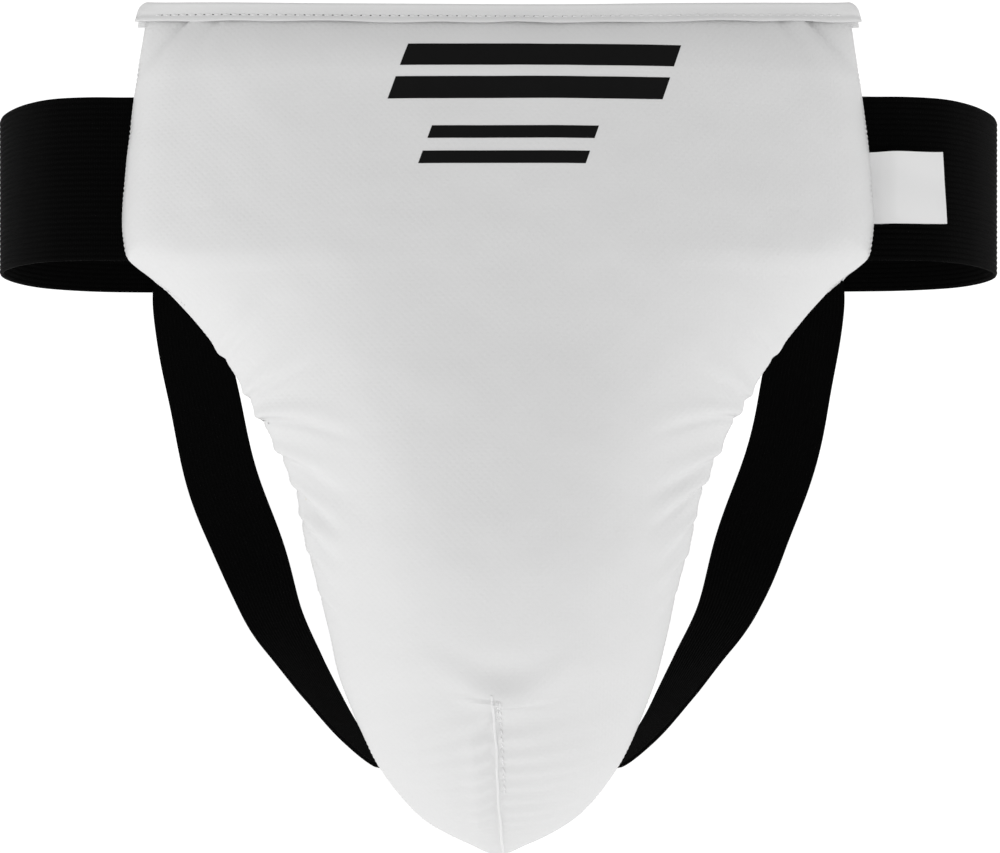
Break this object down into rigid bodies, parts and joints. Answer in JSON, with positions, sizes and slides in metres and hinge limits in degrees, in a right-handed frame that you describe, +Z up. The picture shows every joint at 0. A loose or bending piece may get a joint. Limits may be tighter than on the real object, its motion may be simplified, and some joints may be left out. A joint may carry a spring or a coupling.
{
  "type": "groin protector",
  "caption": "Padded groin protector with a hard cup inside, a wide elastic waist ring that opens at the back, two elastic leg straps and a small side tab.",
  "frame": {"origin": "below the middle of the whole object, level with the bottom tip of the guard", "axes": "+X to the right seen from the front, +Y towards the wearer and the rear of the waist ring, +Z up"},
  "size_m": [0.3946, 0.1863, 0.3137],
  "materials": {
    "cover_leather": "matt white synthetic leather with a very fine grain",
    "binding_leather": "smooth white synthetic leather",
    "tab_leather": "glossy white synthetic leather",
    "white_thread": "white polyester sewing thread",
    "waist_elastic": "black ribbed elastic webbing",
    "strap_elastic": "black woven elastic webbing",
    "black_thread": "black polyester sewing thread",
    "hook_tape": "black nylon hook tape",
    "loop_tape": "black napped loop tape",
    "lining_fabric": "off-white smooth woven lining",
    "foam": "soft closed-cell foam",
    "cup_plastic": "moulded polypropylene"
  },
  "bodies": {
    "guard": {"front_cover": "cover_leather", "foam_pad": "foam", "cup_shell": "cup_plastic", "cup_rim_cushion": "foam", "cup_liner": "foam", "back_lining": "lining_fabric", "top_binding": "binding_leather", "top_binding_thread": "white_thread", "dart_thread": "white_thread", "back_seam_thread": "white_thread", "right_waist_band": "waist_elastic", "left_waist_band": "waist_elastic", "right_band_thread": "black_thread", "left_band_thread": "black_thread", "right_leg_strap_end": "strap_elastic", "left_leg_strap_end": "strap_elastic", "right_leg_strap_thread": "black_thread", "left_leg_strap_thread": "black_thread", "leg_strap_anchor": "binding_leather", "leg_strap_anchor_thread": "white_thread"},
    "outer_tail": {"right_band_tail": "waist_elastic", "hook_patch": "hook_tape", "hook_patch_thread": "black_thread"},
    "inner_tail": {"left_band_tail": "waist_elastic", "loop_patch": "loop_tape", "loop_patch_thread": "black_thread"},
    "right_strap": {"right_leg_strap": "strap_elastic"},
    "left_strap": {"left_leg_strap": "strap_elastic"},
    "tab": {"side_tab": "tab_leather"}
  },
  "joints": [
    {"name": "outer_tail_open", "type": "hinge", "parent": "guard", "child": "outer_tail", "pos_m": [0.105, 0.089, 0.25], "axis": [0, 0, -1], "range_deg": [0, 100]},
    {"name": "inner_tail_open", "type": "hinge", "parent": "guard", "child": "inner_tail", "pos_m": [-0.105, 0.089, 0.25], "axis": [0, 0, 1], "range_deg": [0, 50]},
    {"name": "right_strap_swing", "type": "hinge", "parent": "guard", "child": "right_strap", "pos_m": [0.018, -0.027, 0.037], "axis": [0.4787, 0.4762, 0.7376], "range_deg": [-5, 20]},
    {"name": "left_strap_swing", "type": "hinge", "parent": "guard", "child": "left_strap", "pos_m": [-0.018, -0.027, 0.037], "axis": [0.4787, -0.4762, -0.7376], "range_deg": [-5, 20]},
    {"name": "tab_lift", "type": "hinge", "parent": "guard", "child": "tab", "pos_m": [0.1376, -0.0362, 0.247], "axis": [0, 0, -1], "range_deg": [0, 95]}
  ],
  "couplings": [
    {"joint": "inner_tail_open", "follows": "outer_tail_open", "ratio": 0.5}
  ]
}
